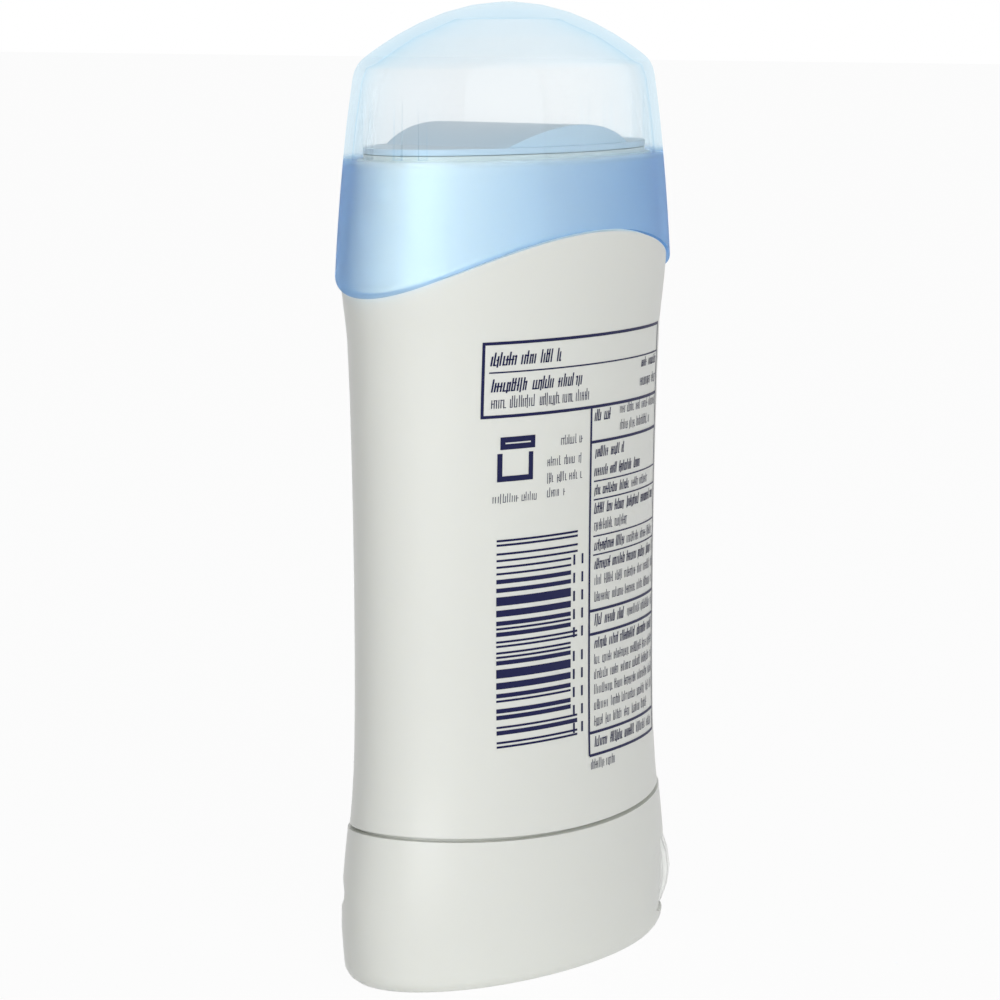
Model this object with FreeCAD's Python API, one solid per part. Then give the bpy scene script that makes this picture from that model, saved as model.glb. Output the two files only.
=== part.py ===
import FreeCAD, Part
import math
import os

from FreeCAD import Vector

# A twist-up deodorant stick, closed, as a set of moulded pieces, in millimetres.
# Z is up and the foot stands on Z = 0. X runs along the oval's long axis and the label face looks to -Y.
# The screw stands on the Z axis. A toothed thumb wheel at the +X end turns it.

# Overall outline: every level is this oval, drawn in by an inset that keeps its proportion
WIDTH = 62.6
DEPTH = 32.4
CAP_TOP_Z = 132.4

# Side profiles, as height and inset of the half width, and what one straight run along their curve may cover
LONGEST_RUN = 9.0
LARGEST_DRAW = 0.42
BASE_SIDE = [(2.6, 0.45), (7.0, 0.05), (11.0, 0.1), (17.0, 0.75), (24.0, 1.75)]
BARREL_SIDE = [(18.0, 1.15), (24.5, 2.05), (32.0, 2.55), (46.0, 2.7), (CAP_TOP_Z - 70.4, 2.55),
               (CAP_TOP_Z - 52.4, 2.05), (CAP_TOP_Z - 44.9, 1.65), (CAP_TOP_Z - 38.4, 0.7),
               (CAP_TOP_Z - 32.4, 0.1), (CAP_TOP_Z - 28.4, 0.0)]
CAP_SIDE = [(CAP_TOP_Z - 39.9, -0.67), (CAP_TOP_Z - 33.4, -0.23), (CAP_TOP_Z - 25.4, 0.55),
            (CAP_TOP_Z - 16.4, 1.75), (CAP_TOP_Z - 10.1, 2.9)]
FOOT_ROUND = 2.6

# Arched lines on the wide faces: height at the middle of the face and at the narrow tips
SEAM_MID_Z = 19.6
SEAM_TIP_Z = 21.5
SEAM_GROOVE = 0.5
CAP_EDGE_MID_Z = CAP_TOP_Z - 30.5
CAP_EDGE_TIP_Z = CAP_TOP_Z - 38.3
CAP_SEAT_GAP = 0.3

# Base cover
BASE_WALL = 1.4
BASE_FLOOR = 1.5
FOOT_RECESS = 0.7
FOOT_RIM = 4.0
FOOT_PAD_R = 7.0

# Barrel
BORE_TO_TIP = 5.1
BORE_TO_FACE = 3.7
BARREL_FLOOR_Z = 22.0
BARREL_FLOOR = 1.4
NECK_SHOULDER_Z = CAP_TOP_Z - 20.9
LIP_HEIGHT = 0.75
LIP_WALL = 0.75
COLLAR_BOTTOM_Z = CAP_TOP_Z - 39.0
COLLAR_TOP_Z = CAP_TOP_Z - 28.5
NECK_STEP = 0.35
SPIGOT_BOTTOM_Z = 15.5
SPIGOT_WALL = 1.2
SPIGOT_FIT = 0.1
SPIGOT_LAP = 0.6
KEEPER_WALL = 0.8
LUG_LENGTH = 7.4
LUG_HEIGHT = 2.3
LUG_PROUD = 0.2
LUG_Z = CAP_TOP_Z - 35.8
LUG_ROOT = 5.0
GATE_PAD_SIDE = 2.6
GATE_PAD_Z = CAP_TOP_Z - 25.0

# Cap
CAP_WALL = 1.25
CAP_CLEARANCE = 0.35
CREASE_Z = CAP_TOP_Z - 8.1
CREASE_INSET = 3.75
CREASE_ROUND = 0.93
CREASE_LEAN = 0.15
DOME_FLAT = 0.04
CEILING_FLAT = 0.4
FIN_THICKNESS = 1.1
FIN_CLEARANCE = 0.45
FIN_GAP = 0.3
FIN_REACH = 7.0
FIN_ANGLES = (14.0, 27.0)

# Gear pair: the thumb wheel's grip ribs are its teeth and drive the screw's wheel
MODULE = 0.6
WHEEL_PROUD = 1.7
GEAR_TO_WALL = 0.4
TOOTH_BACKLASH = 0.2
ADDENDUM = 1.0
DEDENDUM = 1.3
PRESSURE_TAN = 0.364
TOOTH_RUNOUT = 0.3
GEAR_MID_Z = 7.5
SCREW_GEAR_HEIGHT = 4.8

# Thumb wheel
WHEEL_HEIGHT = 9.7
WHEEL_CROWN = 1.1
CROWN_STEPS = 4
WHEEL_WEB_RECESS = 2.4
WHEEL_HUB_R = 4.4
WHEEL_RIM = 2.6
POST_R = 2.5
POST_FIT = 0.08
POCKET_CLEARANCE = 0.4
AXIAL_GAP = 0.25

# Window scoop at the thumb wheel and the notch at the other end
SCOOP_LEFT_X = 14.7
SCOOP_ROUND_X = 24.0
SCOOP_MID_Z = 7.85
SCOOP_HALF_HEIGHT = 5.6
SCOOP_DEPTH = 0.5
NOTCH_ANGLE = 143.4
NOTCH_Z = 12.0
NOTCH_R = 4.0
NOTCH_DEEP = 0.75
NOTCH_LENGTH = 9.0

# Lift screw
SPINDLE_R = 3.0
SPINDLE_TOP_Z = CAP_TOP_Z - 32.4
JOURNAL_R = 2.6
SHAFT_R = 3.4
HUB_R = 6.0
HUB_RISE = 1.0
THRUST_R = 5.6
THRUST_HEIGHT = 1.4
SCREW_FIT = 0.06
SOCKET_WALL = 1.6
SOCKET_HEIGHT = 1.7
GEAR_WEB_RECESS = 1.3
GEAR_RIM = 2.6

# Elevator, product and inner seal, which rise together
SLIDE_CLEARANCE = 0.3
ELEVATOR_REST_GAP = 0.4
SKIRT_HEIGHT = 14.0
SKIRT_WALL = 1.1
PLATFORM = 1.6
NUT_R = 5.4
NUT_RISE = 7.0
RIB = 1.0
RIB_HEIGHT = 7.0
RIB_GAP = 0.8
KEY_RING_HALF_LENGTH = 15.0
KEY_RING_HALF_DEPTH = 7.6
KEY_RING_HEIGHT = 2.6
PRODUCT_TOP_Z = CAP_TOP_Z - 17.4
PRODUCT_CROWN_RISE = 11.0
SPINDLE_CLEARANCE = 0.4
SEAL_WALL = 0.8
SEAL_GAP = 0.1
SEAL_FLANGE = 0.8
SEAL_SKIRT_HEIGHT = 2.4
SEAL_FLANGE_REACH = 0.8

FAR = 60.0
BORE_WIDTH = WIDTH - 2 * BORE_TO_TIP
BORE_DEPTH = DEPTH - 2 * BORE_TO_FACE
SCREW_TEETH = round(2 * (DEPTH / 2 - BASE_WALL - GEAR_TO_WALL) / MODULE - 2 * ADDENDUM)
THUMB_TEETH = round((WIDTH / 2 + WHEEL_PROUD) / MODULE - ADDENDUM - SCREW_TEETH / 2)
WHEEL_X = MODULE * (THUMB_TEETH + SCREW_TEETH) / 2
THUMB_TIP_R = MODULE * (THUMB_TEETH / 2 + ADDENDUM)
FLOOR_TOP_Z = FOOT_RECESS + BASE_FLOOR
BASE_INSIDE = [(min(FLOOR_TOP_Z, BASE_SIDE[0][0]) - 1.0, BASE_SIDE[0][1])] + BASE_SIDE
WHEEL_BOTTOM_Z = GEAR_MID_Z - WHEEL_HEIGHT / 2
WHEEL_TOP_Z = GEAR_MID_Z + WHEEL_HEIGHT / 2
LIP_TOP_Z = NECK_SHOULDER_Z + LIP_HEIGHT
SEAL_Z = LIP_TOP_Z + SEAL_GAP
ELEVATOR_Z = BARREL_FLOOR_Z + BARREL_FLOOR + ELEVATOR_REST_GAP
PLATFORM_TOP_Z = ELEVATOR_Z + SKIRT_HEIGHT
SLIDER_HALF_LENGTH = BORE_WIDTH / 2 - SLIDE_CLEARANCE
SLIDER_HALF_DEPTH = BORE_DEPTH / 2 - SLIDE_CLEARANCE


def oval(z, half_length, half_depth):
    """A flat oval wire at height z."""
    return Part.Wire([Part.Ellipse(Vector(0, 0, z), half_length, half_depth).toShape()])


def prism(half_length, half_depth, low, high):
    """An oval block from one height to another."""
    return Part.Face(oval(low, half_length, half_depth)).extrude(Vector(0, 0, high - low))


def tube(half_length, half_depth, wall, low, high):
    """An oval tube with an even wall."""
    inside = prism(half_length - wall, half_depth - wall, low, high)
    return prism(half_length, half_depth, low, high).cut(inside)


def stack(ovals):
    """A solid through ovals, given as height, half length and half depth, by straight runs."""
    return Part.makeLoft([oval(*item) for item in ovals], True, True)


def ovals_of(side, wall=0.0):
    """The outline's ovals up a side profile, drawn in by a wall and all of one proportion."""
    proportion = (DEPTH / 2 - wall) / (WIDTH / 2 - wall)
    return [(z, WIDTH / 2 - inset - wall, (WIDTH / 2 - inset - wall) * proportion) for z, inset in side]


def eased(side):
    """A side profile with more levels on a smooth curve, so that each straight run along it stays short."""
    slopes = []
    for n in range(len(side)):
        before = side[max(n - 1, 0)]
        after = side[min(n + 1, len(side) - 1)]
        slopes.append((after[1] - before[1]) / (after[0] - before[0]))
    levels = [side[0]]
    for n in range(len(side) - 1):
        low, low_inset = side[n]
        run = side[n + 1][0] - low
        draw = abs(side[n + 1][1] - low_inset)
        count = math.ceil(max(run / LONGEST_RUN, draw / LARGEST_DRAW))
        for step in range(1, count + 1):
            t = step / count
            curve = low_inset * (1 + 2 * t) * (1 - t) ** 2 + side[n + 1][1] * t ** 2 * (3 - 2 * t)
            curve += run * t * (1 - t) * (slopes[n] * (1 - t) - slopes[n + 1] * t)
            levels.append((low + run * t, curve))
    return levels


def flared(side, wall=0.0):
    return stack(ovals_of(eased(side), wall))


def domed_ovals(edge_z, rise, half_length, half_depth, smallest, steps):
    """Ovals that close in over a parabolic dome, from the crease's share of the outline to the smallest."""
    shares = [CREASE_ROUND * math.cos(math.acos(smallest) * step / steps) for step in range(steps + 1)]
    return [(edge_z + rise * (1 - share ** 2), half_length * share, half_depth * share) for share in shares]


def foot_round(side, steps=4):
    """The quarter round that joins the underside to the side profile."""
    top_z, side_inset = side[0]
    turns = [math.pi / 2 * step / steps for step in range(steps)]
    return [(top_z * (1 - math.cos(turn)), side_inset + FOOT_ROUND * (1 - math.sin(turn))) for turn in turns]


def slab(low, high):
    """A wide block that keeps what lies between two heights."""
    return Part.makeBox(2 * FAR, 2 * FAR, high - low, Vector(-FAR, -FAR, low))


def cylinder(radius, low, high, x=0.0):
    return Part.makeCylinder(radius, high - low, Vector(x, 0, low))


def arc_z(x, mid, tip):
    """Height at x of the round arch through the face's middle and both narrow tips."""
    half = WIDTH / 2
    rise = mid - tip
    radius = (half ** 2 + rise ** 2) / (2 * abs(rise))
    drop = radius - math.sqrt(radius ** 2 - x ** 2)
    return mid - math.copysign(drop, rise)


def arched_block(mid, tip, far_z):
    """Everything between the arched surface and the level far_z."""
    reach = WIDTH / 2 + 8.0
    left = Vector(-reach, -FAR, arc_z(reach, mid, tip))
    right = Vector(reach, -FAR, arc_z(reach, mid, tip))
    far_right = Vector(reach, -FAR, far_z)
    far_left = Vector(-reach, -FAR, far_z)
    edges = [Part.Arc(left, Vector(0, -FAR, mid), right).toShape(), Part.makeLine(right, far_right),
             Part.makeLine(far_right, far_left), Part.makeLine(far_left, left)]
    return Part.Face(Part.Wire(edges)).extrude(Vector(0, 2 * FAR, 0))


def gear_outline(teeth, z, phase, runout):
    """A closed wire of straight-flanked teeth with the named backlash, run on past the tips."""
    pitch_r = MODULE * teeth / 2
    reach = MODULE * ADDENDUM + runout
    tip_r = pitch_r + reach
    root_r = pitch_r - MODULE * DEDENDUM
    half_pitch = MODULE * math.pi / 4 - TOOTH_BACKLASH / 2
    half_tip = (half_pitch - reach * PRESSURE_TAN) / tip_r
    half_root = (half_pitch + MODULE * DEDENDUM * PRESSURE_TAN) / root_r
    points = []
    for n in range(teeth):
        mid = 2 * math.pi * n / teeth + phase
        corners = ((root_r, -half_root), (tip_r, -half_tip), (tip_r, half_tip), (root_r, half_root))
        for radius, turn in corners:
            points.append(Vector(radius * math.cos(mid + turn), radius * math.sin(mid + turn), z))
    return Part.makePolygon(points + points[:1])


def gear(teeth, low, high, phase, runout=0.0):
    return Part.Face(gear_outline(teeth, low, phase, runout)).extrude(Vector(0, 0, high - low))


def crowned(radius, crown, low, high):
    """A disc whose rim bulges to the radius at mid height and is drawn in by the crown at both faces."""
    mid = (low + high) / 2
    points = [Vector(0, 0, low)]
    for step in range(CROWN_STEPS + 1):
        share = 2 * step / CROWN_STEPS - 1
        points.append(Vector(radius - crown * share ** 2, 0, mid + (high - mid) * share))
    points.append(Vector(0, 0, high))
    face = Part.Face(Part.makePolygon(points + points[:1]))
    return face.revolve(Vector(0, 0, 0), Vector(0, 0, 1), 360)


def ring(outer_r, inner_r, low, high, x=0.0):
    return cylinder(outer_r, low, high, x).cut(cylinder(inner_r, low, high, x))


def scoop_tool():
    """The rounded window outline, seen from the front, and as deep as the scoop all round the +X end."""
    z = SCOOP_MID_Z
    top = Vector(SCOOP_ROUND_X, -FAR, z + SCOOP_HALF_HEIGHT)
    low = Vector(SCOOP_ROUND_X, -FAR, z - SCOOP_HALF_HEIGHT)
    round_end = Part.Ellipse(Vector(SCOOP_ROUND_X, -FAR, z), SCOOP_ROUND_X - SCOOP_LEFT_X, SCOOP_HALF_HEIGHT)
    round_end.Axis = Vector(0, -1, 0)
    arc = Part.ArcOfEllipse(round_end, math.pi / 2, 3 * math.pi / 2).toShape()
    start = arc.Vertexes[0].Point
    end = arc.Vertexes[-1].Point
    out = WIDTH
    edges = [arc, Part.makeLine(end, Vector(out, -FAR, end.z)),
             Part.makeLine(Vector(out, -FAR, end.z), Vector(out, -FAR, start.z)),
             Part.makeLine(Vector(out, -FAR, start.z), start)]
    window = Part.Face(Part.Wire(edges)).extrude(Vector(0, 2 * FAR, 0))
    return window.cut(flared([(-1.0, BASE_SIDE[0][1])] + BASE_SIDE, SCOOP_DEPTH))


def notch_tool():
    """A short round groove across the back of the -X end."""
    turn = math.radians(NOTCH_ANGLE)
    foot = Vector(WIDTH / 2 * math.cos(turn), DEPTH / 2 * math.sin(turn), NOTCH_Z)
    normal = Vector(math.cos(turn) / WIDTH, math.sin(turn) / DEPTH, 0)
    normal.normalize()
    along = Vector(-normal.y, normal.x, 0)
    centre = foot + normal * (NOTCH_R - NOTCH_DEEP)
    return Part.makeCylinder(NOTCH_R, NOTCH_LENGTH, centre - along * (NOTCH_LENGTH / 2), along)


def make_base_cover():
    outer = stack(ovals_of(foot_round(BASE_SIDE) + eased(BASE_SIDE)))
    outer = outer.common(arched_block(SEAM_MID_Z, SEAM_TIP_Z, -FAR))
    inside = flared(BASE_INSIDE, BASE_WALL).common(slab(FLOOR_TOP_Z, FAR))
    cover = outer.cut([inside, scoop_tool(), notch_tool()])
    recess = prism(WIDTH / 2 - FOOT_RIM, DEPTH / 2 - FOOT_RIM, -1.0, FOOT_RECESS)
    cover = cover.cut(recess.cut(cylinder(FOOT_PAD_R, -1.0, FOOT_RECESS)))
    socket_r = JOURNAL_R + SCREW_FIT
    socket = ring(socket_r + SOCKET_WALL, socket_r, FLOOR_TOP_Z, FLOOR_TOP_Z + SOCKET_HEIGHT)
    post = cylinder(POST_R, FLOOR_TOP_Z - 0.5, WHEEL_TOP_Z + AXIAL_GAP / 2, WHEEL_X)
    seat = cylinder(WHEEL_HUB_R, FLOOR_TOP_Z - 0.5, WHEEL_BOTTOM_Z - AXIAL_GAP, WHEEL_X)
    pocket = crowned(THUMB_TIP_R + POCKET_CLEARANCE, WHEEL_CROWN, WHEEL_BOTTOM_Z - AXIAL_GAP,
                     WHEEL_TOP_Z + POCKET_CLEARANCE)
    pocket.translate(Vector(WHEEL_X, 0, 0))
    return cover.cut(pocket).fuse([socket, post, seat]).removeSplitter()


def make_barrel():
    seam = arched_block(SEAM_MID_Z + SEAM_GROOVE, SEAM_TIP_Z + SEAM_GROOVE, FAR * 3)
    shell = flared(BARREL_SIDE).common(seam)
    shell = shell.common(arched_block(CAP_EDGE_MID_Z - CAP_SEAT_GAP, CAP_EDGE_TIP_Z - CAP_SEAT_GAP, -FAR))
    collar = flared(CAP_SIDE, CAP_WALL + CAP_CLEARANCE).common(slab(COLLAR_BOTTOM_Z, COLLAR_TOP_Z))
    neck = flared(CAP_SIDE, CAP_WALL + CAP_CLEARANCE + NECK_STEP)
    neck = neck.common(slab(COLLAR_BOTTOM_Z, NECK_SHOULDER_Z))
    lip = prism(BORE_WIDTH / 2 + LIP_WALL, BORE_DEPTH / 2 + LIP_WALL, NECK_SHOULDER_Z - 1.0, LIP_TOP_Z)
    spigot_wall = BASE_WALL + SPIGOT_FIT
    spigot = flared(BASE_INSIDE, spigot_wall).common(slab(SPIGOT_BOTTOM_Z, BARREL_FLOOR_Z + SPIGOT_LAP))
    body = shell.fuse([collar, neck, lip, spigot])
    well = flared(BASE_INSIDE, spigot_wall + SPIGOT_WALL).common(slab(SPIGOT_BOTTOM_Z - 1, BARREL_FLOOR_Z))
    bore = prism(BORE_WIDTH / 2, BORE_DEPTH / 2, BARREL_FLOOR_Z + BARREL_FLOOR, LIP_TOP_Z + 1)
    body = body.cut([well, bore])
    keeper_top = BARREL_FLOOR_Z + BARREL_FLOOR / 2
    keeper = cylinder(POST_R + KEEPER_WALL, WHEEL_TOP_Z + AXIAL_GAP, keeper_top, WHEEL_X)
    body = body.fuse([keeper] + make_lugs() + make_gate_pads())
    body = body.cut(cylinder(SPINDLE_R + SCREW_FIT, BARREL_FLOOR_Z - 1, BARREL_FLOOR_Z + BARREL_FLOOR + 1))
    return body.removeSplitter()


def make_lugs():
    """The pill-shaped snap lugs on the neck collar at both narrow tips."""
    proud = flared(CAP_SIDE, CAP_WALL + CAP_CLEARANCE - LUG_PROUD)
    half = (LUG_LENGTH - LUG_HEIGHT) / 2
    radius = LUG_HEIGHT / 2
    lugs = []
    for side in (-1, 1):
        start = Vector(side * (WIDTH / 2 - LUG_ROOT), 0, LUG_Z)
        reach = Vector(side * 2 * LUG_ROOT, 0, 0)
        corner = Vector(min(start.x, start.x + reach.x), -half, LUG_Z - radius)
        bar = Part.makeBox(2 * LUG_ROOT, 2 * half, 2 * radius, corner)
        for y in (-half, half):
            bar = bar.fuse(Part.makeCylinder(radius, 2 * LUG_ROOT, start + Vector(0, y, 0), reach))
        lugs.append(bar.removeSplitter().common(proud))
    return lugs


def make_gate_pads():
    """The small square pads higher on the neck at both narrow tips."""
    proud = flared(CAP_SIDE, CAP_WALL + CAP_CLEARANCE)
    side = GATE_PAD_SIDE
    pads = []
    for x in (-WIDTH / 2, WIDTH / 2 - LUG_ROOT):
        corner = Vector(x, -side / 2, GATE_PAD_Z - side / 2)
        pads.append(Part.makeBox(LUG_ROOT, side, side, corner).common(proud))
    return pads


def crease_ovals(side_top, dome_edge, steps=4):
    """Ovals round the cap's crease, on a curve that leaves the side and lands on the dome."""
    corner = (CREASE_Z, side_top[1] - (side_top[1] - dome_edge[1]) * CREASE_LEAN,
              side_top[2] - (side_top[2] - dome_edge[2]) * CREASE_LEAN)
    ovals = []
    for step in range(1, steps):
        t = step / steps
        ovals.append(tuple(a * (1 - t) ** 2 + 2 * b * t * (1 - t) + c * t ** 2
                           for a, b, c in zip(side_top, corner, dome_edge)))
    return ovals


def cap_form(side, wall, smallest, steps):
    """The cap's filled form, drawn in by a wall: flared side, rounded crease and a dome."""
    ovals = ovals_of(eased(side), wall)
    crease = ovals_of([(CREASE_Z - wall, CREASE_INSET)], wall)[0]
    dome = domed_ovals(crease[0], CAP_TOP_Z - CREASE_Z, crease[1], crease[2], smallest, steps)
    return stack(ovals + crease_ovals(ovals[-1], dome[0], 4 if wall == 0 else 2) + dome)


def make_cap():
    inside = [(CAP_SIDE[0][0] - 1.0, CAP_SIDE[0][1])] + CAP_SIDE[:-1]
    inside.append((CAP_SIDE[-1][0] - CAP_WALL / 2, CAP_SIDE[-1][1]))
    shell = cap_form(CAP_SIDE, 0.0, DOME_FLAT, 7).cut(cap_form(inside, CAP_WALL, CEILING_FLAT, 3))
    shell = shell.common(arched_block(CAP_EDGE_MID_Z, CAP_EDGE_TIP_Z, FAR * 3))
    fins = make_fins(flared(CAP_SIDE, CAP_WALL / 2).common(slab(NECK_SHOULDER_Z + FIN_GAP, FAR * 3)))
    return shell.fuse(fins).removeSplitter()


def make_fins(envelope):
    """Upright fins inside the cap's ends that centre it over the mouth and fade into the tapered wall."""
    clear = SEAL_FLANGE_REACH + FIN_CLEARANCE
    free = prism(BORE_WIDTH / 2 + clear, BORE_DEPTH / 2 + clear, 0.0, FAR * 3)
    fins = []
    for angle in FIN_ANGLES:
        for quarter in (angle, 180 - angle, 180 + angle, 360 - angle):
            turn = math.radians(quarter)
            foot = Vector(WIDTH / 2 * math.cos(turn), DEPTH / 2 * math.sin(turn), 0)
            normal = Vector(math.cos(turn) / WIDTH, math.sin(turn) / DEPTH, 0)
            normal.normalize()
            corner = Vector(-FIN_REACH, -FIN_THICKNESS / 2, NECK_SHOULDER_Z + FIN_GAP)
            plate = Part.makeBox(FIN_REACH + 1.0, FIN_THICKNESS, FAR, corner)
            plate.rotate(Vector(0, 0, 0), Vector(0, 0, 1), math.degrees(math.atan2(normal.y, normal.x)))
            plate.translate(foot)
            fins.append(plate.common(envelope).cut(free))
    return fins


def make_lift_screw():
    low = GEAR_MID_Z - SCREW_GEAR_HEIGHT / 2
    high = GEAR_MID_Z + SCREW_GEAR_HEIGHT / 2
    phase = 0.0 if THUMB_TEETH % 2 else math.pi / SCREW_TEETH
    wheel = gear(SCREW_TEETH, low, high, phase)
    root_r = MODULE * (SCREW_TEETH / 2 - DEDENDUM)
    web = [ring(root_r - GEAR_RIM, HUB_R, high - GEAR_WEB_RECESS, high),
           ring(root_r - GEAR_RIM, HUB_R, low, low + GEAR_WEB_RECESS)]
    wheel = wheel.cut(web)
    journal = cylinder(JOURNAL_R, FLOOR_TOP_Z + AXIAL_GAP, low + 1)
    hub = cylinder(HUB_R, low + 0.5, high + HUB_RISE)
    shaft = cylinder(SHAFT_R, high, BARREL_FLOOR_Z - AXIAL_GAP)
    thrust_top = BARREL_FLOOR_Z - AXIAL_GAP
    thrust = cylinder(THRUST_R, thrust_top - THRUST_HEIGHT, thrust_top)
    spindle = cylinder(SPINDLE_R, high, SPINDLE_TOP_Z)
    tip = [edge for edge in spindle.Edges if edge.BoundBox.ZMin > SPINDLE_TOP_Z - 1e-3]
    spindle = spindle.makeChamfer(1.0, tip)
    return wheel.fuse([journal, hub, shaft, thrust, spindle]).removeSplitter()


def make_thumb_wheel():
    blank = crowned(THUMB_TIP_R, WHEEL_CROWN, WHEEL_BOTTOM_Z, WHEEL_TOP_Z)
    wheel = gear(THUMB_TEETH, WHEEL_BOTTOM_Z, WHEEL_TOP_Z, 0.0, TOOTH_RUNOUT).common(blank)
    root_r = MODULE * (THUMB_TEETH / 2 - DEDENDUM)
    inner = root_r - WHEEL_RIM
    web = [ring(inner, WHEEL_HUB_R, WHEEL_TOP_Z - WHEEL_WEB_RECESS, WHEEL_TOP_Z),
           ring(inner, WHEEL_HUB_R, WHEEL_BOTTOM_Z, WHEEL_BOTTOM_Z + WHEEL_WEB_RECESS)]
    wheel = wheel.cut(web + [cylinder(POST_R + POST_FIT, WHEEL_BOTTOM_Z, WHEEL_TOP_Z)])
    wheel.translate(Vector(WHEEL_X, 0, 0))
    return wheel.removeSplitter()


def make_elevator():
    skirt = tube(SLIDER_HALF_LENGTH, SLIDER_HALF_DEPTH, SKIRT_WALL, ELEVATOR_Z, PLATFORM_TOP_Z)
    platform = prism(SLIDER_HALF_LENGTH, SLIDER_HALF_DEPTH, PLATFORM_TOP_Z - PLATFORM, PLATFORM_TOP_Z)
    nut = cylinder(NUT_R, ELEVATOR_Z, PLATFORM_TOP_Z + NUT_RISE)
    rib_length = 2 * (SLIDER_HALF_LENGTH - SKIRT_WALL - RIB_GAP)
    rib = Part.makeBox(rib_length, RIB, RIB_HEIGHT, Vector(-rib_length / 2, -RIB / 2,
                                                          PLATFORM_TOP_Z - PLATFORM / 2 - RIB_HEIGHT))
    key_top = PLATFORM_TOP_Z + KEY_RING_HEIGHT
    key = tube(KEY_RING_HALF_LENGTH, KEY_RING_HALF_DEPTH, RIB, PLATFORM_TOP_Z - PLATFORM / 2, key_top)
    body = skirt.fuse([platform, nut, key, rib])
    return body.cut(cylinder(SPINDLE_R + SCREW_FIT, 0.0, FAR * 2)).removeSplitter()


def under_crown(low, grow):
    """Everything from a level up to the stick's crown, an arc along the oval's long axis raised by a gap."""
    half = SLIDER_HALF_LENGTH
    top_z = PRODUCT_TOP_Z + grow
    radius = (half ** 2 + PRODUCT_CROWN_RISE ** 2) / (2 * PRODUCT_CROWN_RISE)
    reach = half + 1.0
    edge_z = top_z - radius + math.sqrt(radius ** 2 - reach ** 2)
    left = Vector(-reach, -FAR, edge_z)
    right = Vector(reach, -FAR, edge_z)
    low_right = Vector(reach, -FAR, low)
    low_left = Vector(-reach, -FAR, low)
    edges = [Part.Arc(left, Vector(0, -FAR, top_z), right).toShape(), Part.makeLine(right, low_right),
             Part.makeLine(low_right, low_left), Part.makeLine(low_left, left)]
    return Part.Face(Part.Wire(edges)).extrude(Vector(0, 2 * FAR, 0))


def make_product(elevator):
    """The stick: it fills the bore above the platform, and its top fits inside the seal's skirt."""
    straight_z = PRODUCT_TOP_Z - PRODUCT_CROWN_RISE - 1.0
    shoulder_z = SEAL_Z - SEAL_SKIRT_HEIGHT - SEAL_GAP
    draw_in = SEAL_WALL + SEAL_GAP
    body = prism(SLIDER_HALF_LENGTH, SLIDER_HALF_DEPTH, PLATFORM_TOP_Z, straight_z)
    under = under_crown(PLATFORM_TOP_Z, 0.0)
    top = prism(SLIDER_HALF_LENGTH, SLIDER_HALF_DEPTH, straight_z, shoulder_z).common(under)
    tip = prism(SLIDER_HALF_LENGTH - draw_in, SLIDER_HALF_DEPTH - draw_in, shoulder_z, FAR * 3).common(under)
    hole = cylinder(SPINDLE_R + SPINDLE_CLEARANCE, PLATFORM_TOP_Z - 1, SPINDLE_TOP_Z + 1.5)
    return body.cut([elevator, hole]).fuse([top, tip])


def make_seal():
    """The inner seal: a plate on the lip with a short plug skirt, raised where it lies on the stick."""
    high = SEAL_Z + SEAL_FLANGE
    inner_length = SLIDER_HALF_LENGTH - SEAL_WALL
    inner_depth = SLIDER_HALF_DEPTH - SEAL_WALL
    plate = prism(BORE_WIDTH / 2 + SEAL_FLANGE_REACH, BORE_DEPTH / 2 + SEAL_FLANGE_REACH, SEAL_Z, high)
    skirt = tube(SLIDER_HALF_LENGTH, SLIDER_HALF_DEPTH, SEAL_WALL, SEAL_Z - SEAL_SKIRT_HEIGHT, high)
    mound = prism(SLIDER_HALF_LENGTH, SLIDER_HALF_DEPTH, SEAL_Z, FAR * 3)
    mound = mound.common(under_crown(PLATFORM_TOP_Z, SEAL_GAP + SEAL_WALL))
    hollow = prism(inner_length, inner_depth, PLATFORM_TOP_Z, FAR * 3)
    hollow = hollow.common(under_crown(PLATFORM_TOP_Z, SEAL_GAP))
    return plate.fuse([skirt, mound]).cut(hollow).removeSplitter()


def export(name, shape):
    solids = shape.Solids
    kept = solids[0] if len(solids) == 1 else Part.makeCompound(solids)
    box = kept.BoundBox
    print(f"{name}: {len(solids)} solid, valid {kept.isValid()}, volume {kept.Volume:.0f}, "
          f"z {box.ZMin:.2f} to {box.ZMax:.2f}, {box.XLength:.2f} x {box.YLength:.2f}")
    kept.exportStep(os.path.join("parts", name + ".step"))


def main():
    os.makedirs("parts", exist_ok=True)
    elevator = make_elevator()
    export("base_cover", make_base_cover())
    export("barrel", make_barrel())
    export("thumb_wheel", make_thumb_wheel())
    export("lift_screw", make_lift_screw())
    export("elevator", elevator)
    export("product_stick", make_product(elevator))
    export("inner_seal", make_seal())
    export("cap", make_cap())


main()
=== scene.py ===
import math
import random

import bmesh
import bpy
from mathutils import Matrix, Vector
from mathutils.bvhtree import BVHTree


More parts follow.
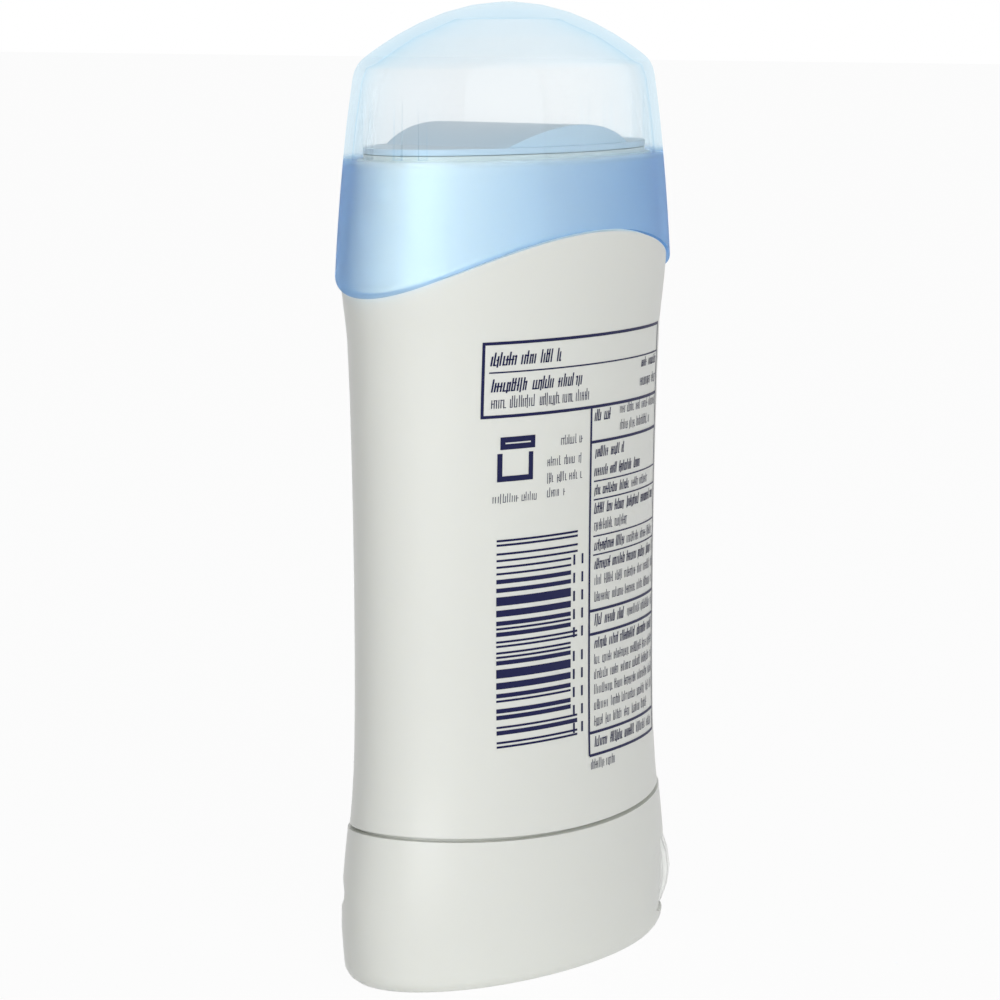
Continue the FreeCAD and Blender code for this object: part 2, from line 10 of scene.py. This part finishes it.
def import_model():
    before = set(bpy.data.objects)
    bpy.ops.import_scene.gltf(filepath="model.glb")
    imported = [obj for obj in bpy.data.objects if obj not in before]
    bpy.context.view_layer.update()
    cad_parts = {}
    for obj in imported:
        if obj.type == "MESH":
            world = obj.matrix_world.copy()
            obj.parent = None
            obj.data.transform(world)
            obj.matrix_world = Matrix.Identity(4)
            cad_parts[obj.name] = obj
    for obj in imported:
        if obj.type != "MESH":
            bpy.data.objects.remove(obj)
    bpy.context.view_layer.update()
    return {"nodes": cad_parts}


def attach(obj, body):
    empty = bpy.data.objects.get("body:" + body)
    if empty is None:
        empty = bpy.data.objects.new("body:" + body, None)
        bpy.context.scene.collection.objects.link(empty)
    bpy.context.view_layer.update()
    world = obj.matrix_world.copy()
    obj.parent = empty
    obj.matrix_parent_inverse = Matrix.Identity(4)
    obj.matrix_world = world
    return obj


# A closed twist-up deodorant stick on a pale floor
# Lengths are millimetres, and mm() turns them to metres. Texture scales count per metre.

# Camera: it stands at the azimuth, looks at the stick's axis turned a little aside, and is pitched down
CAMERA_AZIMUTH = -53.4
CAMERA_REACH = 502.9
CAMERA_HEIGHT = 133.1
CAMERA_PITCH = 7.86
CAMERA_TURN = -0.12
CAMERA_LENS = 131.4
CAMERA_SENSOR = 36.0
CAMERA_CLIP = (10.0, 50000.0)

# Edges sharper than this angle, in degrees, stay sharp
EDGE_ANGLE = 24.0
MERGE_DISTANCE = 0.002

# Label on the -Y face: a ruled box on top, a code panel at the left and a column of small print at the right
INK_LIFT = 0.045
PATCH_STEP_X = 0.8
PATCH_STEP_Z = 4.0
UPRIGHT_STEP_Z = 1.5
BEFORE_LABEL_Y = -60.0
LABEL_HALF_WIDTH = 20.3
BOX_TOP_Z = 87.6
BOX_BOTTOM_Z = 77.8
BOX_RULE_Z = 83.7
COLUMN_X = -1.2
COLUMN_BOTTOM_Z = 29.45
FRAME_LINE = 0.42
THICK_RULE = 0.4
THIN_RULE = 0.2
RULE_INSET_LEFT = 0.8
RULE_INSET_RIGHT = 0.3
THICK_RULES_Z = (72.95, 49.6, 46.35, 32.6, 29.45)
THIN_RULES_Z = (67.5, 64.95, 59.9, 57.3)

# Lines of small print as left, right, foot and head, in strong or fine strokes
STRONG_LINES = ((-19.4, -7.6, 84.6, 86.4), (-19.2, -3.1, 81.1, 82.85), (12.6, 19.6, 82.1, 83.4),
                (-0.5, 3.6, 75.8, 77.4), (-0.2, 7.7, 70.8, 72.3), (-0.4, 12.9, 68.2, 69.7),
                (-0.3, 9.4, 65.6, 67.0), (-0.3, 19.6, 63.0, 64.5), (-0.2, 8.0, 57.9, 59.4),
                (-0.1, 19.7, 55.3, 56.8), (0.0, 8.3, 47.5, 49.1), (0.0, 19.6, 44.3, 45.8),
                (0.0, 11.6, 30.5, 32.0))
FINE_LINES = ((-19.1, -1.5, 78.9, 80.5), (12.3, 19.6, 79.5, 81.0), (6.0, 19.7, 76.3, 77.6),
              (6.1, 16.6, 74.0, 75.4), (9.9, 16.2, 65.6, 66.9), (-0.2, 8.7, 60.7, 62.2),
              (8.6, 19.7, 57.9, 59.3), (0.0, 19.7, 53.1, 54.5), (0.0, 19.5, 50.8, 52.2),
              (9.0, 19.5, 47.6, 49.0), (0.0, 19.7, 42.1, 43.5), (0.0, 19.7, 40.0, 41.4),
              (0.0, 19.7, 37.9, 39.3), (0.0, 19.7, 35.7, 37.1), (0.0, 16.6, 33.5, 34.9),
              (12.1, 19.6, 30.5, 31.9), (-0.9, 5.8, 27.5, 28.9), (-7.5, -3.2, 73.2, 74.5),
              (-10.0, -3.2, 70.5, 71.8), (-10.0, -3.2, 68.3, 69.6), (-10.0, -6.6, 66.3, 67.6),
              (-18.7, -11.4, 66.2, 67.4))

# A style of small print: stroke width, gap, space between words, and lean as a share of the height
STRONG_STROKES = (0.21, 0.17, 0.62, 0.16)
FINE_STROKES = (0.13, 0.2, 0.55, 0.03)
STROKE_HEIGHT = 1.5
WAIST_SHARE = 0.72
TALL_CHANCE = 0.28
HANGING_CHANCE = 0.08
HANGING_SHARE = 0.12
CROSSING_CHANCE = 0.5
CROSSING_SHARE = 0.8
WORD_STROKES = (4, 13)
GAP_SPREAD = (0.7, 1.5)
SPACE_SPREAD = (0.8, 1.3)
SEED = 7

# Code panel: a ladder of bars counted in modules from the top, and dashes beside it
CODE_LEFT_X = -18.05
CODE_RIGHT_X = -5.2
CODE_GUARD_X = -3.85
CODE_BOTTOM_Z = 32.85
CODE_TOP_Z = 61.2
CODE_MODULES = 95
CODE_GUARDS = ((0, 1), (2, 1), (6, 1), (9, 1), (46, 1), (48, 1), (85, 1), (87, 2), (92, 1), (94, 1))
CODE_FIELDS = ((12, 44), (51, 82))
BAR_MODULES = (1, 1, 2, 3, 4)
SPACE_MODULES = (1, 1, 2, 2, 3)
DASH_COLUMNS_X = ((-4.75, -4.35), (-3.0, -2.6))
DASH_TOPS_Z = (57.2, 43.9)
DASH_COUNT = 5
DASH_PITCH = 2.5
DASH_HALF_LENGTH = 0.7

# Open-jar sign
JAR_LEFT_X = -18.1
JAR_RIGHT_X = -12.5
JAR_FOOT_Z = 69.0
JAR_TOP_Z = 75.0
JAR_LINE = 0.75
JAR_LID = 1.7
JAR_LID_GAP = 0.5
JAR_LID_LEFT_SHIFT = 0.4
JAR_LID_RIGHT_SHIFT = 0.3

# Light: each soft box has its azimuth from the camera, its height and its power
ROOM_LIGHT = 0.25
FLOOR_GLOW = 0.95
FLOOR_REACH = 6000.0
FRONT_BOX = (11.0, 450.0, 10.1)
LEFT_BOX = (-88.0, 450.0, 0.7)
LAMP_REACH = 1200.0
LAMP_SIZE = 900.0
LAMP_AIM_Z = 66.0

# Finishes, in linear colour
WHITE = (1.0, 1.0, 1.0, 1.0)
HOUSING_WHITE = (0.80, 0.815, 0.77, 1.0)
WHEEL_WHITE = (0.86, 0.87, 0.85, 1.0)
NATURAL_WHITE = (0.78, 0.79, 0.76, 1.0)
WAX_WHITE = (0.84, 0.86, 0.85, 1.0)
# The inner seal's colour is partly painted shade: darker and bluer than its own pale plastic, standing for
# the shade and blue-tinted light under the cap
SEAL_WITH_PAINTED_BLUE_SHADE = (0.68, 0.78, 0.86, 1.0)
INK_NAVY = (0.002, 0.003, 0.045, 1.0)
INK_THIN = (0.006, 0.009, 0.0675, 1.0)
FLOOR_WHITE = (0.92, 0.92, 0.92, 1.0)
HOUSING_ROUGHNESS = 0.32
WHEEL_ROUGHNESS = 0.38
NATURAL_ROUGHNESS = 0.45
WAX_ROUGHNESS = 0.5
SEAL_ROUGHNESS = 0.4
INK_ROUGHNESS = 0.5
FLOOR_ROUGHNESS = 0.6
HOUSING_IOR = 1.49
ROUGHNESS_DRIFT = 0.05
RIPPLE_DEPTH = 0.02

# Cap: a blue band grips the neck below a clear top, each with a tint face on and one where it turns away
CAP_BAND_Z = (110.5, 112.5)
CAP_BAND_TINTS = ((0.76, 0.82, 0.86, 1.0), (0.015, 0.26, 0.80, 1.0))
CAP_BAND_GLASS = ((0.98, 0.99, 1.0, 1.0), (0.14, 0.50, 0.86, 1.0))
CAP_TOP_TINTS = (WHITE, (0.64, 0.88, 1.0, 1.0))
CAP_BAND_TURN = 0.38
CAP_TOP_TURN = 0.06
CAP_CLEARNESS = (0.86, 1.0)
CAP_SEE_THROUGH = (0.42, 0.92)
CAP_SHEEN = (0.30, 0.62, 0.92, 1.0)
CAP_SHEEN_LEVEL = 0.3
CAP_ROUGHNESS = 0.32
CAP_IOR = 1.45
CAP_DEPTH_BLUE = (0.30, 0.76, 1.0, 1.0)
CAP_DEPTH_DENSITY = 22.0
CAP_SHADOW_BLUE = (0.72, 0.84, 0.9, 1.0)


def mm(*values):
    """Millimetres to metres: one number, or a vector from several."""
    if len(values) == 1:
        return values[0] / 1000.0
    return Vector(values) / 1000.0


def add_mesh(name, mesh, material):
    obj = bpy.data.objects.new(name, mesh)
    bpy.context.scene.collection.objects.link(obj)
    obj.data.materials.append(material)
    return obj


# Node helpers
def new_material(name):
    material = bpy.data.materials.new(name)
    material.use_nodes = True
    return material, material.node_tree, material.node_tree.nodes["Principled BSDF"]


def set_inputs(node, values):
    for name, value in values.items():
        node.inputs[name].default_value = value


def arithmetic(tree, operation, *terms):
    """The result of a Math node on numbers and sockets."""
    node = tree.nodes.new("ShaderNodeMath")
    node.operation = operation
    for place, term in zip(node.inputs, terms):
        if isinstance(term, float):
            place.default_value = term
        else:
            tree.links.new(term, place)
    return node.outputs[0]


def object_place(tree):
    return tree.nodes.new("ShaderNodeTexCoord").outputs["Object"]


def blend_colours(tree, share, first, second):
    """A colour between two others, each a colour or a socket."""
    blend = tree.nodes.new("ShaderNodeMix")
    blend.data_type = "RGBA"
    tree.links.new(share, blend.inputs["Factor"])
    for name, colour in (("A", first), ("B", second)):
        if isinstance(colour, tuple):
            blend.inputs[name].default_value = colour
        else:
            tree.links.new(colour, blend.inputs[name])
    return blend.outputs["Result"]


def blend_shaders(tree, share, first, second):
    blend = tree.nodes.new("ShaderNodeMixShader")
    for place, source in zip(blend.inputs, (share, first, second)):
        tree.links.new(source, place)
    return blend.outputs[0]


def ramp_between(tree, share, ends):
    """A value that goes from one end to the other as the share goes from 0 to 1."""
    ramp = tree.nodes.new("ShaderNodeMapRange")
    ramp.inputs["To Min"].default_value = ends[0]
    ramp.inputs["To Max"].default_value = ends[1]
    tree.links.new(share, ramp.inputs["Value"])
    return ramp.outputs["Result"]


# Shared effect: the slight tone drift, fine ripple and change of roughness of moulded plastic
def build_moulded_group():
    group = bpy.data.node_groups.new("Moulded Skin", "ShaderNodeTree")
    for name in ("Colour", "Drift", "Drift Scale", "Roughness", "Ripple", "Ripple Scale"):
        kind = "NodeSocketColor" if name == "Colour" else "NodeSocketFloat"
        group.interface.new_socket(name=name, in_out="INPUT", socket_type=kind)
    for name, kind in (("Colour", "Color"), ("Roughness", "Float"), ("Normal", "Vector")):
        group.interface.new_socket(name=name, in_out="OUTPUT", socket_type="NodeSocket" + kind)
    nodes, links = group.nodes, group.links
    entry = nodes.new("NodeGroupInput")
    leave = nodes.new("NodeGroupOutput")
    place = object_place(group)
    drift = nodes.new("ShaderNodeTexNoise")
    drift.inputs["Detail"].default_value = 3.0
    links.new(place, drift.inputs["Vector"])
    links.new(entry.outputs["Drift Scale"], drift.inputs["Scale"])
    centred = arithmetic(group, "SUBTRACT", drift.outputs["Fac"], 0.5)
    tone = nodes.new("ShaderNodeVectorMath")
    tone.operation = "SCALE"
    links.new(entry.outputs["Colour"], tone.inputs[0])
    links.new(arithmetic(group, "MULTIPLY_ADD", centred, entry.outputs["Drift"], 1.0), tone.inputs["Scale"])
    links.new(tone.outputs[0], leave.inputs["Colour"])
    roughness = arithmetic(group, "MULTIPLY_ADD", centred, ROUGHNESS_DRIFT, entry.outputs["Roughness"])
    links.new(roughness, leave.inputs["Roughness"])
    ripple = nodes.new("ShaderNodeTexNoise")
    ripple.inputs["Detail"].default_value = 2.0
    links.new(place, ripple.inputs["Vector"])
    links.new(entry.outputs["Ripple Scale"], ripple.inputs["Scale"])
    bump = nodes.new("ShaderNodeBump")
    bump.inputs["Distance"].default_value = mm(RIPPLE_DEPTH)
    links.new(ripple.outputs["Fac"], bump.inputs["Height"])
    links.new(entry.outputs["Ripple"], bump.inputs["Strength"])
    links.new(bump.outputs["Normal"], leave.inputs["Normal"])
    return group


def skin(tree, shader, group, colour, roughness, drift, ripple=0.1, drift_scale=45.0, ripple_scale=900.0):
    """Places the moulded skin in a material and feeds its shader."""
    node = tree.nodes.new("ShaderNodeGroup")
    node.node_tree = group
    set_inputs(node, {"Colour": colour, "Roughness": roughness, "Drift": drift, "Ripple": ripple,
                      "Drift Scale": drift_scale, "Ripple Scale": ripple_scale})
    for result, name in (("Colour", "Base Color"), ("Roughness", "Roughness"), ("Normal", "Normal")):
        tree.links.new(node.outputs[result], shader.inputs[name])
    return node


def housing_plastic(group):
    material, tree, shader = new_material("glossy_white_housing")
    skin(tree, shader, group, HOUSING_WHITE, HOUSING_ROUGHNESS, drift=0.025)
    set_inputs(shader, {"IOR": HOUSING_IOR, "Subsurface Weight": 0.12,
                        "Subsurface Radius": (1.0, 0.9, 0.7), "Subsurface Scale": mm(1.5)})
    return material


def wheel_plastic(group):
    material, tree, shader = new_material("satin_white_wheel")
    skin(tree, shader, group, WHEEL_WHITE, WHEEL_ROUGHNESS, drift=0.02)
    shader.inputs["IOR"].default_value = HOUSING_IOR
    return material


def natural_plastic(group):
    material, tree, shader = new_material("natural_plastic")
    skin(tree, shader, group, NATURAL_WHITE, NATURAL_ROUGHNESS, drift=0.04)
    return material


def wax(group):
    material, tree, shader = new_material("pressed_wax")
    skin(tree, shader, group, WAX_WHITE, WAX_ROUGHNESS, drift=0.06, ripple=0.5, drift_scale=120.0,
         ripple_scale=400.0)
    set_inputs(shader, {"Subsurface Weight": 0.4, "Subsurface Radius": (1.0, 0.9, 0.8),
                        "Subsurface Scale": mm(3.0)})
    return material


def seal_plastic(group):
    material, tree, shader = new_material("seal_plastic")
    # Painted shade: the seal's colour is darkened and tinted blue for the shade under the cap
    skin(tree, shader, group, SEAL_WITH_PAINTED_BLUE_SHADE, SEAL_ROUGHNESS, drift=0.03)
    return material


def tint_by_angle(tree, turn, tints):
    """A colour that changes from where a surface faces the eye to where it turns away."""
    edge = tree.nodes.new("ShaderNodeLayerWeight")
    edge.inputs["Blend"].default_value = turn
    return blend_colours(tree, edge.outputs["Facing"], *tints)


def cap_plastic(group):
    """Light-blue plastic, milky in the band that grips the neck and clear above it."""
    material, tree, shader = new_material("translucent_blue_cap")
    body = skin(tree, shader, group, WHITE, CAP_ROUGHNESS, drift=0.0, ripple=0.2, ripple_scale=500.0)
    height = tree.nodes.new("ShaderNodeSeparateXYZ")
    tree.links.new(object_place(tree), height.inputs[0])
    band = tree.nodes.new("ShaderNodeMapRange")
    band.interpolation_type = "SMOOTHSTEP"
    band.inputs["From Min"].default_value = mm(CAP_BAND_Z[0])
    band.inputs["From Max"].default_value = mm(CAP_BAND_Z[1])
    tree.links.new(height.outputs["Z"], band.inputs["Value"])
    above = band.outputs["Result"]
    band_tint = tint_by_angle(tree, CAP_BAND_TURN, CAP_BAND_TINTS)
    band_glass = tint_by_angle(tree, CAP_BAND_TURN, CAP_BAND_GLASS)
    top_tint = tint_by_angle(tree, CAP_TOP_TURN, CAP_TOP_TINTS)
    tree.links.new(blend_colours(tree, above, band_tint, top_tint), body.inputs["Colour"])
    tree.links.new(ramp_between(tree, above, CAP_CLEARNESS), shader.inputs["Transmission Weight"])
    set_inputs(shader, {"IOR": CAP_IOR, "Specular Tint": CAP_SHEEN, "Specular IOR Level": CAP_SHEEN_LEVEL})
    straight = tree.nodes.new("ShaderNodeBsdfTransparent")
    tree.links.new(blend_colours(tree, above, band_glass, top_tint), straight.inputs["Color"])
    see_through = ramp_between(tree, above, CAP_SEE_THROUGH)
    clear = blend_shaders(tree, see_through, shader.outputs[0], straight.outputs[0])
    shadow = tree.nodes.new("ShaderNodeBsdfTransparent")
    shadow.inputs["Color"].default_value = CAP_SHADOW_BLUE
    path = tree.nodes.new("ShaderNodeLightPath")
    surface = blend_shaders(tree, path.outputs["Is Shadow Ray"], clear, shadow.outputs[0])
    depth = tree.nodes.new("ShaderNodeVolumeAbsorption")
    set_inputs(depth, {"Color": CAP_DEPTH_BLUE, "Density": CAP_DEPTH_DENSITY})
    leave = tree.nodes["Material Output"]
    tree.links.new(surface, leave.inputs["Surface"])
    tree.links.new(depth.outputs["Volume"], leave.inputs["Volume"])
    return material


def label_ink():
    material, tree, shader = new_material("navy_label_ink")
    grain = tree.nodes.new("ShaderNodeTexNoise")
    grain.inputs["Scale"].default_value = 2500.0
    tree.links.new(object_place(tree), grain.inputs["Vector"])
    ramp = tree.nodes.new("ShaderNodeValToRGB")
    ramp.color_ramp.elements[0].color = INK_NAVY
    ramp.color_ramp.elements[1].color = INK_THIN
    tree.links.new(grain.outputs["Fac"], ramp.inputs["Fac"])
    tree.links.new(ramp.outputs["Color"], shader.inputs["Base Color"])
    set_inputs(shader, {"Roughness": INK_ROUGHNESS, "Specular IOR Level": 0.25})
    return material


# The label
class FacePrinter:
    """Lays flat shapes on the barrel's label face, just proud of it."""

    def __init__(self, barrel):
        self.bvh = BVHTree.FromObject(barrel, bpy.context.evaluated_depsgraph_get())
        self.mesh = bmesh.new()

    def corner(self, x, z):
        """A vertex on the face at x and z, lifted by the ink."""
        hit, normal, _, _ = self.bvh.ray_cast(mm(x, BEFORE_LABEL_Y, z), Vector((0, 1, 0)))
        if normal.y > 0:
            normal = -normal
        return self.mesh.verts.new(hit + normal * mm(INK_LIFT))

    def patch(self, left, right, low, high, step_z=PATCH_STEP_Z):
        columns = max(1, math.ceil((right - left) / PATCH_STEP_X))
        rows = max(1, math.ceil((high - low) / step_z))
        grid = []
        for j in range(rows + 1):
            z = low + (high - low) * j / rows
            grid.append([self.corner(left + (right - left) * i / columns, z) for i in range(columns + 1)])
        for lower, upper in zip(grid, grid[1:]):
            for i in range(columns):
                self.mesh.faces.new((lower[i], lower[i + 1], upper[i + 1], upper[i]))

    def rule(self, left, right, z, width):
        self.patch(left, right, z - width / 2, z + width / 2)

    def upright(self, x, low, high, width):
        self.patch(x - width / 2, x + width / 2, low, high, step_z=UPRIGHT_STEP_Z)

    def stroke(self, foot_x, head_x, low, high, width):
        """One short leaning stroke."""
        corners = ((foot_x, low), (foot_x + width, low), (head_x + width, high), (head_x, high))
        self.mesh.faces.new([self.corner(x, z) for x, z in corners])

    def finish(self, name, material):
        mesh = bpy.data.meshes.new(name)
        self.mesh.to_mesh(mesh)
        self.mesh.free()
        return add_mesh(name, mesh, material)


def small_print(printer, dice, line, strokes):
    """A line of generic filler: words of plain strokes that stand for print and spell nothing."""
    left, right, low, high = line
    width, gap, between, lean_share = strokes
    height = high - low
    width *= height / STROKE_HEIGHT
    lean = height * lean_share
    waist = low + height * WAIST_SHARE
    last_x = right - lean - width
    x = left
    while x < last_x:
        for _ in range(dice.randint(*WORD_STROKES)):
            if x > last_x:
                break
            top = high if dice.random() < TALL_CHANCE else waist
            foot = low - height * HANGING_SHARE if dice.random() < HANGING_CHANCE else low
            printer.stroke(x, x + lean * (top - low) / height, foot, top, width)
            step = width + gap * dice.uniform(*GAP_SPREAD)
            if dice.random() < CROSSING_CHANCE:
                level = dice.choice((low, waist - width, (low + waist) / 2))
                printer.stroke(x, x, level, level + width * CROSSING_SHARE, step)
            x += step
        x += between * dice.uniform(*SPACE_SPREAD)


def make_label(barrel, material):
    printer = FacePrinter(barrel)
    dice = random.Random(SEED)
    half = LABEL_HALF_WIDTH
    for z in (BOX_TOP_Z, BOX_BOTTOM_Z):
        printer.rule(-half - FRAME_LINE / 2, half + FRAME_LINE / 2, z, FRAME_LINE)
    printer.rule(-half + RULE_INSET_LEFT, half - RULE_INSET_RIGHT, BOX_RULE_Z, THIN_RULE)
    for x in (-half, half):
        printer.upright(x, BOX_BOTTOM_Z, BOX_TOP_Z, FRAME_LINE)
    for x in (COLUMN_X, half):
        printer.upright(x, COLUMN_BOTTOM_Z, BOX_BOTTOM_Z, FRAME_LINE)
    for z in THICK_RULES_Z:
        printer.rule(COLUMN_X, half, z, THICK_RULE)
    for z in THIN_RULES_Z:
        printer.rule(COLUMN_X + RULE_INSET_LEFT, half - RULE_INSET_RIGHT, z, THIN_RULE)
    for lines, strokes in ((STRONG_LINES, STRONG_STROKES), (FINE_LINES, FINE_STROKES)):
        for line in lines:
            small_print(printer, dice, line, strokes)
    make_jar_sign(printer)
    make_code_bars(printer, dice)
    return printer.finish("label_print", material)


def make_jar_sign(printer):
    """The plain open-jar sign that toiletries carry, without its number."""
    printer.patch(JAR_LEFT_X, JAR_RIGHT_X, JAR_FOOT_Z, JAR_FOOT_Z + JAR_LINE)
    lid_foot = JAR_TOP_Z - JAR_LID
    for x in (JAR_LEFT_X, JAR_RIGHT_X - JAR_LINE):
        printer.patch(x, x + JAR_LINE, JAR_FOOT_Z, lid_foot - JAR_LID_GAP)
    left = JAR_LEFT_X + JAR_LID_LEFT_SHIFT
    right = JAR_RIGHT_X + JAR_LID_RIGHT_SHIFT
    printer.patch(left, right, lid_foot, lid_foot + JAR_LINE)
    for x in (left, right - JAR_LINE):
        printer.patch(x, x + JAR_LINE, lid_foot, JAR_TOP_Z)
    printer.patch(left, right, JAR_TOP_Z - JAR_LINE, JAR_TOP_Z)


def make_code_bars(printer, dice):
    """A ladder of random bars, longer at both ends and in the middle as such panels have them."""
    module = (CODE_TOP_Z - CODE_BOTTOM_Z) / CODE_MODULES
    bars = [(at, thick, CODE_GUARD_X) for at, thick in CODE_GUARDS]
    for first, last in CODE_FIELDS:
        at = first
        while at < last:
            thick = min(dice.choice(BAR_MODULES), last - at)
            bars.append((at, thick, CODE_RIGHT_X))
            at += thick + dice.choice(SPACE_MODULES)
    for at, thick, right in bars:
        z = CODE_TOP_Z - at * module
        printer.patch(CODE_LEFT_X, right, z - thick * module, z)
    for first in DASH_TOPS_Z:
        for n in range(DASH_COUNT):
            z = first - DASH_PITCH * n
            for left, right in DASH_COLUMNS_X:
                printer.patch(left, right, z - DASH_HALF_LENGTH, z + DASH_HALF_LENGTH)


# The moulded curves are shaded evenly, and only real edges stay sharp
def build_even_shading():
    group = bpy.data.node_groups.new("Even Shading", "GeometryNodeTree")
    for side in ("INPUT", "OUTPUT"):
        group.interface.new_socket(name="Geometry", in_out=side, socket_type="NodeSocketGeometry")
    nodes, links = group.nodes, group.links
    entry = nodes.new("NodeGroupInput")
    leave = nodes.new("NodeGroupOutput")
    merge = nodes.new("GeometryNodeMergeByDistance")
    merge.inputs["Distance"].default_value = mm(MERGE_DISTANCE)
    links.new(entry.outputs[0], merge.inputs["Geometry"])
    angle = nodes.new("GeometryNodeInputMeshEdgeAngle")
    soft = nodes.new("FunctionNodeCompare")
    soft.operation = "LESS_THAN"
    soft.inputs["B"].default_value = math.radians(EDGE_ANGLE)
    links.new(angle.outputs["Unsigned Angle"], soft.inputs["A"])
    faces = nodes.new("GeometryNodeSetShadeSmooth")
    faces.domain = "FACE"
    links.new(merge.outputs["Geometry"], faces.inputs["Geometry"])
    edges = nodes.new("GeometryNodeSetShadeSmooth")
    edges.domain = "EDGE"
    links.new(faces.outputs["Geometry"], edges.inputs["Geometry"])
    links.new(soft.outputs["Result"], edges.inputs["Shade Smooth"])
    links.new(edges.outputs["Geometry"], leave.inputs[0])
    return group


def shade_evenly(node, group):
    stored = node.data.attributes.get("custom_normal")
    if stored is not None:
        node.data.attributes.remove(stored)
    modifier = node.modifiers.new("even_shading", "NODES")
    modifier.node_group = group


# Studio
def make_camera():
    data = bpy.data.cameras.new("camera")
    data.lens = CAMERA_LENS
    data.sensor_width = CAMERA_SENSOR
    data.sensor_fit = "HORIZONTAL"
    data.clip_start = mm(CAMERA_CLIP[0])
    data.clip_end = mm(CAMERA_CLIP[1])
    camera = bpy.data.objects.new("camera", data)
    bpy.context.scene.collection.objects.link(camera)
    azimuth = math.radians(CAMERA_AZIMUTH)
    pitch = math.radians(CAMERA_PITCH)
    ahead = Vector((-math.sin(azimuth), math.cos(azimuth), 0.0))
    camera.location = -ahead * mm(CAMERA_REACH) + Vector((0, 0, mm(CAMERA_HEIGHT)))
    ahead = Matrix.Rotation(-math.radians(CAMERA_TURN), 3, "Z") @ ahead
    forward = ahead * math.cos(pitch) - Vector((0, 0, math.sin(pitch)))
    camera.rotation_euler = forward.to_track_quat("-Z", "Y").to_euler()
    bpy.context.scene.camera = camera


def seen_directly(tree):
    """The mask of the rays that see the surroundings: camera, glossy and transmitted ones."""
    path = tree.nodes.new("ShaderNodeLightPath").outputs
    first = arithmetic(tree, "MAXIMUM", path["Is Camera Ray"], path["Is Glossy Ray"])
    return arithmetic(tree, "MAXIMUM", first, path["Is Transmission Ray"])


def make_floor():
    mesh = bpy.data.meshes.new("floor")
    reach = mm(FLOOR_REACH)
    corners = [(-reach, -reach, 0), (reach, -reach, 0), (reach, reach, 0), (-reach, reach, 0)]
    mesh.from_pydata(corners, [], [(0, 1, 2, 3)])
    material, tree, shader = new_material("pale_floor")
    set_inputs(shader, {"Base Color": FLOOR_WHITE, "Roughness": FLOOR_ROUGHNESS})
    glow = tree.nodes.new("ShaderNodeEmission")
    glow.inputs["Strength"].default_value = 1.0
    share = arithmetic(tree, "MULTIPLY", seen_directly(tree), FLOOR_GLOW)
    surface = blend_shaders(tree, share, shader.outputs[0], glow.outputs[0])
    tree.links.new(surface, tree.nodes["Material Output"].inputs["Surface"])
    add_mesh("floor", mesh, material)


def make_world():
    world = bpy.data.worlds.new("studio")
    bpy.context.scene.world = world
    world.use_nodes = True
    tree = world.node_tree
    room = tree.nodes["Background"]
    set_inputs(room, {"Color": WHITE, "Strength": ROOM_LIGHT})
    white = tree.nodes.new("ShaderNodeBackground")
    set_inputs(white, {"Color": WHITE, "Strength": 1.0})
    surface = blend_shaders(tree, seen_directly(tree), room.outputs[0], white.outputs[0])
    tree.links.new(surface, tree.nodes["World Output"].inputs["Surface"])


def make_lamp(name, box):
    """A square soft box that looks at the middle of the stick."""
    turn, height, power = box
    data = bpy.data.lights.new(name, "AREA")
    data.shape = "SQUARE"
    data.size = mm(LAMP_SIZE)
    data.energy = power
    lamp = bpy.data.objects.new(name, data)
    bpy.context.scene.collection.objects.link(lamp)
    angle = math.radians(CAMERA_AZIMUTH + turn)
    lamp.location = mm(math.sin(angle) * LAMP_REACH, -math.cos(angle) * LAMP_REACH, height)
    aim = mm(0.0, 0.0, LAMP_AIM_Z) - lamp.location
    lamp.rotation_euler = aim.to_track_quat("-Z", "Y").to_euler()


def main():
    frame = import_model()
    bpy.context.scene.view_settings.view_transform = "Standard"
    nodes = frame["nodes"]
    group = build_moulded_group()
    housing = housing_plastic(group)
    natural = natural_plastic(group)
    finishes = {"base_cover": housing, "barrel": housing, "thumb_wheel": wheel_plastic(group),
                "lift_screw": natural, "elevator": natural, "product_stick": wax(group),
                "inner_seal": seal_plastic(group), "cap": cap_plastic(group)}
    for name, material in finishes.items():
        nodes[name].data.materials.clear()
        nodes[name].data.materials.append(material)
    shading = build_even_shading()
    for name in ("barrel", "base_cover", "cap"):
        shade_evenly(nodes[name], shading)
    label = make_label(nodes["barrel"], label_ink())
    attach(label, "case")
    make_floor()
    make_world()
    make_lamp("front_soft_box", FRONT_BOX)
    make_lamp("left_soft_box", LEFT_BOX)
    make_camera()


main()
